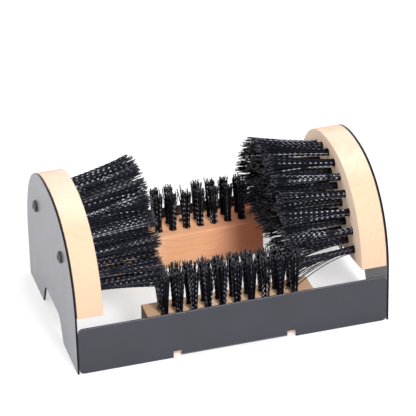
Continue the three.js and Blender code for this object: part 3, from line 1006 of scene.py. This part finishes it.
def tuft_tree():
    tree, keys, given = new_tree("tufts", TUFT_INPUTS)
    count, steps = given["Filaments"], given["Steps"]
    roots = output_of(tree, "GeometryNodeMeshToPoints", "Points", {"Mesh": given["Geometry"]})
    inputs = {"Geometry": roots, "Amount": count * steps}
    copies = add_node(tree, "GeometryNodeDuplicateElements", inputs, domain="POINT")
    copy = Field(tree, copies.outputs["Duplicate Index"])
    filament = (copy / steps).work("FLOOR")
    along = (copy - filament * steps) / (steps - 1)
    tuft = point_value(tree, "tuft", "INT")
    strand = tuft * count + filament

    def chance(low, high, draw, owner=strand):
        seed = given["Seed"] + DRAWS.index(draw)
        inputs = {"Min": low, "Max": high, "ID": owner, "Seed": seed}
        kind = "FunctionNodeRandomValue"
        return output_of(tree, kind, "Value", inputs, data_type="FLOAT")

    # The bundle's own axes: along its aim, and two ways across it
    aim = point_value(tree, "aim", "FLOAT_VECTOR")
    across = aim.work("CROSS_PRODUCT", (0.0, 1.0, 0.0)).work("NORMALIZE")
    upward = aim.work("CROSS_PRODUCT", across)

    def sideways(turn):
        return across * turn.work("COSINE") + upward * turn.work("SINE")

    # How far this step lies from the board's face
    reach = point_value(tree, "reach")
    longest = reach * (chance(0.0, 1.0, "length") * given["Ragged"] * -1.0 + 1.0)
    travel = along * (longest + given["Root Depth"]) - given["Root Depth"]
    out = travel.work("MAXIMUM", 0.0) / reach

    # The filaments of a bundle fill a disc, and the disc opens towards the tips
    share = ((filament + 0.5) / count) ** 0.5
    spread = point_value(tree, "open") - given["Bundle Radius"]
    disc = given["Bundle Radius"] + spread * out ** given["Flare"]
    slip = chance(-SPOKE_SLIP, SPOKE_SLIP, "spoke")
    spoke = sideways(filament * GOLDEN_ANGLE + tuft * TUFT_TURN + slip)

    # Each filament strays a little, and a few stray a lot
    wild = chance(0.0, 1.0, "wildness") ** WILD_POWER * WILD_GAIN + WILD_LEAST
    strayed = given["Wander"] * wild * out**STRAY_POWER
    stray = sideways(chance(0.0, math.tau, "stray")) * strayed
    sagged = out**SAG_POWER * chance(0.0, 1.0, "sag") ** SAG_POWER
    sag = point_value(tree, "sag", "FLOAT_VECTOR") * sagged

    # The crimp is a flat wave in the filament's own plane, half a wave on for every second one
    pressed = chance(0.0, 1.0, "press", owner=tuft)
    odd = filament.work("MODULO", 2.0)
    slip = chance(-WAVE_SLIP, WAVE_SLIP, "wave")
    wave = travel / given["Crimp Length"] + pressed + odd * 0.5 + slip
    swing = (wave * math.tau).work("SINE")
    crimp = sideways(chance(0.0, math.tau, "crimp")) * (given["Crimp Height"] * swing)

    offset = aim * travel + spoke * (share * disc) + stray + sag + crimp
    inputs = {"Geometry": Field(tree, copies.outputs["Geometry"]), "Offset": offset}
    placed = output_of(tree, "GeometryNodeSetPosition", "Geometry", inputs)
    tone = chance(0.0, 1.0, "tone")
    marked = store_values(tree, placed, {"along": along, "wave": wave, "tone": tone})

    # A worn tuft keeps only the filaments in the middle of its bundle
    worn = share.work("GREATER_THAN", point_value(tree, "fill") ** 0.5)
    inputs = {"Geometry": marked, "Selection": worn}
    kept = output_of(tree, "GeometryNodeDeleteGeometry", "Geometry", inputs, domain="POINT")
    skins = skinned(tree, kept, strand, along, given["Filament Radius"])
    finish_tree(tree, skins, given["Finish"])
    return tree, keys


tufts_tree, tuft_keys = tuft_tree()
print("the tufts' tree has", len(tufts_tree.nodes), "nodes")

# %% [markdown]
# The tree gets its sizes through named inputs. Each input is set by its identifier before the
# object is first evaluated, because its name alone doesn't reach it. Blender then makes the
# filaments, and the result is kept as a plain mesh with no modifier. A side brush is split into
# two pieces, so that neither mesh grows too large.

# %% Grow the bristles
FILAMENTS = {"left": 32, "right": 32, "front": 40, "rear": 30}
FILAMENT = 1.06 * MM
BUNDLE = {"side": 7.6 * MM, "floor": 6.9 * MM}
WANDER = {"side": 2.6 * MM, "floor": 1.9 * MM}
FLARE = {"side": 1.8, "floor": 1.2}
RAGGED = {"left": 0.06, "right": 0.10, "front": 0.10, "rear": 0.08}
ROOT_DEPTH = 3 * MM
CRIMP = 5.1 * MM
CRIMP_HEIGHT = 0.2 * MM
STEPS_IN_CRIMP = 4
OUTER_ARCHES = (0, 3)
FIRST_SEED = {"outer": 10, "inner": 20, "floor": 30}


def grown(name, mesh, tree, keys, values):
    holder = into_scene(name, mesh)
    modifier = holder.modifiers.new(name, "NODES")
    modifier.node_group = tree
    for label, value in values.items():
        modifier[keys[label]] = value
    return baked(name, holder)


def add_values(mesh, name, kind, values):
    layer = mesh.attributes.new(name, kind, "POINT")
    if kind == "FLOAT_VECTOR":
        layer.data.foreach_set("vector", [part for value in values for part in value])
    else:
        layer.data.foreach_set("value", values)


def tuft_mesh(tufts):
    mesh = bpy.data.meshes.new("tuft_roots")
    mesh.from_pydata([tuft["root"] for tuft in tufts], [], [])
    kinds = {"aim": "FLOAT_VECTOR", "sag": "FLOAT_VECTOR", "tuft": "INT"}
    for name in ("aim", "sag", "reach", "open", "fill", "shine", "tuft"):
        add_values(mesh, name, kinds.get(name, "FLOAT"), [tuft[name] for tuft in tufts])
    return mesh


def grow_bristles(name, tufts, node, seed):
    brush, kind = node.split("_")[:2]
    longest = max(tuft["reach"] for tuft in tufts) + ROOT_DEPTH
    values = {
        "Filaments": FILAMENTS[brush],
        "Steps": round(longest / CRIMP * STEPS_IN_CRIMP) + 1,
        "Root Depth": ROOT_DEPTH,
        "Bundle Radius": (BUNDLE[kind] - FILAMENT) / 2,
        "Filament Radius": FILAMENT / 2,
        "Crimp Length": CRIMP,
        "Crimp Height": CRIMP_HEIGHT,
        "Wander": WANDER[kind],
        "Ragged": RAGGED[brush],
        "Flare": FLARE[kind],
        "Seed": seed,
        "Finish": bristle_nylon,
    }
    mesh = grown(name, tuft_mesh(tufts), tufts_tree, tuft_keys, values)
    add_piece(name, mesh, bristle_nylon, [node])


for number, side in enumerate(SIDES):
    node_name = side + "_side_bristles"
    halves = {"outer": [], "inner": []}
    for tuft in ALL_TUFTS[side + "_side"]:
        halves["outer" if tuft["arch"] in OUTER_ARCHES else "inner"].append(tuft)
    for half, tufts in halves.items():
        seed = FIRST_SEED[half] + number
        grow_bristles(f"{side}_side_tufts_{half}", tufts, node_name, seed)
for number, end in enumerate(ENDS):
    node_name = end + "_floor_bristles"
    seed = FIRST_SEED["floor"] + number
    grow_bristles(end + "_floor_tufts", ALL_TUFTS[end + "_floor"], node_name, seed)

# %% [markdown]
# Four black pan-head screws hold the side boards, and four countersunk ones come up through the
# walls' flanges into the floor boards. A screw is a turned piece, so its profile is spun round
# its axis. The profile runs from the point up: the thread, a plain neck, then the head.

# %% Turn a screw
SPIN_STEPS = 32
THREAD_PITCH = 1.6 * MM
THREAD_DEPTH = 0.45 * MM
CREST_START_SHARE, CREST_END_SHARE = 0.4, 0.55
POINT = 3 * MM


def threaded(shank, length, neck):
    profile = [(0.0, -length)]
    height = -length + POINT
    profile.append((shank / 2 - THREAD_DEPTH, height))
    while height + THREAD_PITCH < -neck:
        profile.append((shank / 2, height + CREST_START_SHARE * THREAD_PITCH))
        profile.append((shank / 2, height + CREST_END_SHARE * THREAD_PITCH))
        profile.append((shank / 2 - THREAD_DEPTH, height + THREAD_PITCH))
        height += THREAD_PITCH
    return profile


def spun(name, profile):
    shape = bmesh.new()
    turns = [math.tau * k / SPIN_STEPS for k in range(SPIN_STEPS)]
    rows = []
    for radius, height in profile:
        if radius == 0:
            rows.append([shape.verts.new((0, 0, height))])
        else:
            places = [(radius * math.cos(t), radius * math.sin(t), height) for t in turns]
            rows.append([shape.verts.new(place) for place in places])
    for lower, upper in zip(rows, rows[1:]):
        for k in range(SPIN_STEPS):
            corners = [lower[k % len(lower)], lower[(k + 1) % len(lower)]]
            corners += [upper[(k + 1) % len(upper)], upper[k % len(upper)]]
            shape.faces.new(dict.fromkeys(corners))
    return closed_mesh(name, shape)


# %% [markdown]
# One screw of each kind is made. A cross is cut into its head for the driver, by a Boolean
# modifier with two crossed blocks that narrow towards the bottom, as the driver's tip does.

# %% Cut the cross
CROSS_WIDTH_SHARE = 0.13
CROSS_SPAN_SHARE = 0.52
CROSS_DEPTH_SHARE = 0.22
CROSS_TAPER_SHARE = 0.45
SCREW_SHARP = math.radians(35)
DOME_STEPS = 8
PAN_HEAD, PAN_DOME, PAN_RIM = 11 * MM, 3 * MM, 0.9 * MM
PAN_SHANK, PAN_LENGTH, PAN_NECK = 4.2 * MM, 12.7 * MM, 2 * MM
FLAT_HEAD = 7.6 * MM
FLAT_SHANK, FLAT_LENGTH, FLAT_NECK = 3.8 * MM, 19 * MM, 4 * MM


def cross_cutter(width, span, top, depth):
    shape = bmesh.new()
    for length, breadth in ((span, width), (width, span)):
        block = bmesh.ops.create_cube(shape, size=1.0)
        for vertex in block["verts"]:
            upper = vertex.co.z > 0
            taper = 1.0 if upper else CROSS_TAPER_SHARE
            across = vertex.co.x * (length * taper if length > breadth else length)
            along = vertex.co.y * (breadth * taper if breadth > length else breadth)
            vertex.co = Vector((across, along, top + OVERRUN if upper else top - depth))
    return into_scene("cross", mesh_from("cross", shape))


def slotted_screw(name, profile, head, top):
    sizes = [share * head for share in (CROSS_WIDTH_SHARE, CROSS_SPAN_SHARE)]
    cutter = cross_cutter(*sizes, top, CROSS_DEPTH_SHARE * head)
    cut = "BOOLEAN", {"object": cutter, "use_self": True, "solver": "EXACT"}
    mesh = with_modifiers(name, spun(name, profile), [cut])
    bpy.data.objects.remove(cutter)
    mesh.set_sharp_from_angle(angle=SCREW_SHARP)
    print(f"{name}: {len(mesh.polygons)} faces")
    return into_scene(name, mesh)


def dome(radius, low, high):
    turns = [math.pi / 2 * k / DOME_STEPS for k in range(DOME_STEPS)]
    arc = [(radius * math.cos(t), low + (high - low) * math.sin(t)) for t in turns]
    return arc + [(0.0, high)]


pan_profile = threaded(PAN_SHANK, PAN_LENGTH, PAN_NECK)
pan_profile += [(PAN_SHANK / 2, 0.0), (PAN_HEAD / 2, 0.0)]
pan_profile += dome(PAN_HEAD / 2, PAN_RIM, PAN_DOME)
pan_screw = slotted_screw("pan_screw", pan_profile, PAN_HEAD, PAN_DOME)

flat_profile = threaded(FLAT_SHANK, FLAT_LENGTH, FLAT_NECK)
flat_profile += [(FLAT_SHANK / 2, (FLAT_SHANK - FLAT_HEAD) / 2), (FLAT_HEAD / 2, 0.0), (0.0, 0.0)]
flat_screw = slotted_screw("flat_screw", flat_profile, FLAT_HEAD, 0.0)

# %% [markdown]
# A small tree sets a screw on each of four points and turns it to face the point's own way:
# outwards from a plate, or down to the ground.

# %% Set the screws on their points
SCREW_INPUTS = {"Screw": "Object", "Finish": "Material"}


def screw_tree():
    tree, keys, given = new_tree("screws", SCREW_INPUTS)
    one = output_of(tree, "GeometryNodeObjectInfo", "Geometry", {"Object": given["Screw"]})
    facing = point_value(tree, "facing", "FLOAT_VECTOR")
    kind = "FunctionNodeAlignRotationToVector"
    turned = output_of(tree, kind, "Rotation", {"Vector": facing}, axis="Z")
    inputs = {"Points": given["Geometry"], "Instance": one, "Rotation": turned}
    placed = output_of(tree, "GeometryNodeInstanceOnPoints", "Instances", inputs)
    finish_tree(tree, placed, given["Finish"])
    return tree, keys


screws_tree, screw_keys = screw_tree()


def set_screws(name, screw, places):
    """Put a screw in the place of each node, given as node: (place, facing)."""
    mesh = bpy.data.meshes.new("screw_places")
    mesh.from_pydata([place for place, facing in places.values()], [], [])
    add_values(mesh, "facing", "FLOAT_VECTOR", [facing for place, facing in places.values()])
    values = {"Screw": screw, "Finish": black_screw}
    made = grown(name, mesh, screws_tree, screw_keys, values)
    bpy.data.objects.remove(screw)
    add_piece(name, made, black_screw, list(places))


board_screws = {}
floor_screws = {}
for side, way in SIDES.items():
    for end in ENDS:
        node_name = f"{side}_{end}_board_screw"
        low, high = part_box(node_name)
        middle = (low + high) / 2
        seat = (high.x if way > 0 else low.x) - way * PAN_DOME
        board_screws[node_name] = Vector((seat, middle.y, middle.z)), Vector((way, 0, 0))

        node_name = f"{end}_{side}_floor_screw"
        low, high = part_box(node_name)
        middle = (low + high) / 2
        floor_screws[node_name] = Vector((middle.x, middle.y, low.z)), Vector((0, 0, -1))
set_screws("board_screws", pan_screw, board_screws)
set_screws("floor_screws", flat_screw, floor_screws)

# %% [markdown]
# The stage is a white studio. The lamps and the sky light the object at a plain level, so that a
# colour comes out about as it is written. The background is white only to the eye and to
# reflections: Light Path tells the shader which rays ask. The floor takes a soft shadow.

# %% Sky and floor
WHITE = (1.0, 1.0, 1.0, 1.0)
SKY_LIGHT = 0.5
FLOOR_COLOUR = (0.55, 0.55, 0.55, 1.0)
FLOOR_GLOW, FLOOR_GLOW_SEEN = 0.05, 0.50
FLOOR_HALF = 4.0


def seen_or_mirrored(tree):
    path = add_node(tree, "ShaderNodeLightPath")
    camera = Field(tree, path.outputs["Is Camera Ray"])
    glossy = Field(tree, path.outputs["Is Glossy Ray"])
    through = Field(tree, path.outputs["Is Transmission Ray"])
    return camera.work("MAXIMUM", glossy).work("MAXIMUM", through)


def white_sky():
    world = bpy.data.worlds.new("studio")
    world.use_nodes = True
    tree = world.node_tree
    background = tree.nodes["Background"]
    background.inputs["Color"].default_value = WHITE
    strength = seen_or_mirrored(tree) * (1 - SKY_LIGHT) + SKY_LIGHT
    feed(tree, background.inputs["Strength"], strength)
    bpy.context.scene.world = world


def floor_finish():
    finish = bpy.data.materials.new("floor")
    finish.use_nodes = True
    tree = finish.node_tree
    tree.nodes.clear()
    matt = add_node(tree, "ShaderNodeBsdfDiffuse", {"Color": FLOOR_COLOUR})
    glow = add_node(tree, "ShaderNodeEmission", {"Color": WHITE})
    strength = seen_or_mirrored(tree) * FLOOR_GLOW_SEEN + FLOOR_GLOW
    feed(tree, glow.inputs["Strength"], strength)
    both = add_node(tree, "ShaderNodeAddShader")
    tree.links.new(matt.outputs[0], both.inputs[0])
    tree.links.new(glow.outputs[0], both.inputs[1])
    end = add_node(tree, "ShaderNodeOutputMaterial")
    tree.links.new(both.outputs[0], end.inputs["Surface"])
    return finish


def pale_floor():
    mesh = bpy.data.meshes.new("floor")
    ways = ((-1, -1), (1, -1), (1, 1), (-1, 1))
    mesh.from_pydata([(x * FLOOR_HALF, y * FLOOR_HALF, 0) for x, y in ways], [], [(0, 1, 2, 3)])
    mesh.materials.append(floor_finish())
    into_scene("floor", mesh)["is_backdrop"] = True


white_sky()
pale_floor()
print(f"the sky lights the object at {SKY_LIGHT} and is seen at 1")

# %% [markdown]
# Three soft suns stand in for the studio's lamps: the key from above the front, the fill from
# low on the left, and the third from nearly overhead. A sun's way points from the object to the
# lamp, and its spread is how wide it looks in the sky: the wider, the softer its shadows.

# %% Lamps
SUNS = {
    "key_softbox": {"way": (0.15, -0.80, 0.57), "spread": math.radians(14), "strength": 2.3},
    "fill_softbox": {"way": (-0.97, -0.05, 0.24), "spread": math.radians(34), "strength": 1.3},
    "top_softbox": {"way": (0.05, 0.25, 0.97), "spread": math.radians(40), "strength": 0.95},
}


def soft_sun(name, way, spread, strength):
    lamp = bpy.data.lights.new(name, "SUN")
    lamp.angle = spread
    lamp.energy = strength
    holder = into_scene(name, lamp)
    holder.rotation_euler = Vector(way).to_track_quat("Z", "Y").to_euler()


for name, settings in SUNS.items():
    soft_sun(name, **settings)
print("lamps:", list(SUNS))

# %% [markdown]
# The camera stands to the left of the front and looks down on the brush, as in the photograph.
# It is a long lens from some way off, with the slight roll that the photograph has. Its place
# was solved from the edges of the real object, together with the object's proportions.

# %% Camera
CAMERA_PLACE = Vector((-572.9, -2038.5, 1329.3)) * MM
CAMERA_TURN = math.radians(15.784)
CAMERA_HEIGHT = math.radians(30.277)
CAMERA_ROLL = math.radians(-1.317)
LENS = 234.7
SENSOR = 36.0
NEAREST, FARTHEST = 0.1, 20


def place_camera():
    flat = math.cos(CAMERA_HEIGHT)
    away = -math.sin(CAMERA_TURN) * flat, -math.cos(CAMERA_TURN) * flat, math.sin(CAMERA_HEIGHT)
    back = Vector(away)
    right = (-back).cross(UP).normalized()
    up = back.cross(right)
    rolled_right = math.cos(CAMERA_ROLL) * right + math.sin(CAMERA_ROLL) * up
    rolled_up = math.cos(CAMERA_ROLL) * up - math.sin(CAMERA_ROLL) * right
    turn = Matrix((rolled_right, rolled_up, back)).transposed()
    data = bpy.data.cameras.new("camera")
    data.lens = LENS
    data.sensor_width = SENSOR
    data.clip_start = NEAREST
    data.clip_end = FARTHEST
    camera = into_scene("camera", data)
    camera.matrix_world = Matrix.Translation(CAMERA_PLACE) @ turn.to_4x4()
    bpy.context.scene.camera = camera


place_camera()
bpy.context.scene.view_settings.view_transform = "Standard"
print(f"the camera stands {CAMERA_PLACE.length:.2f} m from the origin")

# %% [markdown]
# Last, the dressed model is measured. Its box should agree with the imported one's to a fraction
# of a millimetre.

# %% Measure and finish
low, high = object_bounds()
print("the dressed model spans", in_mm(low), "to", in_mm(high), "mm")
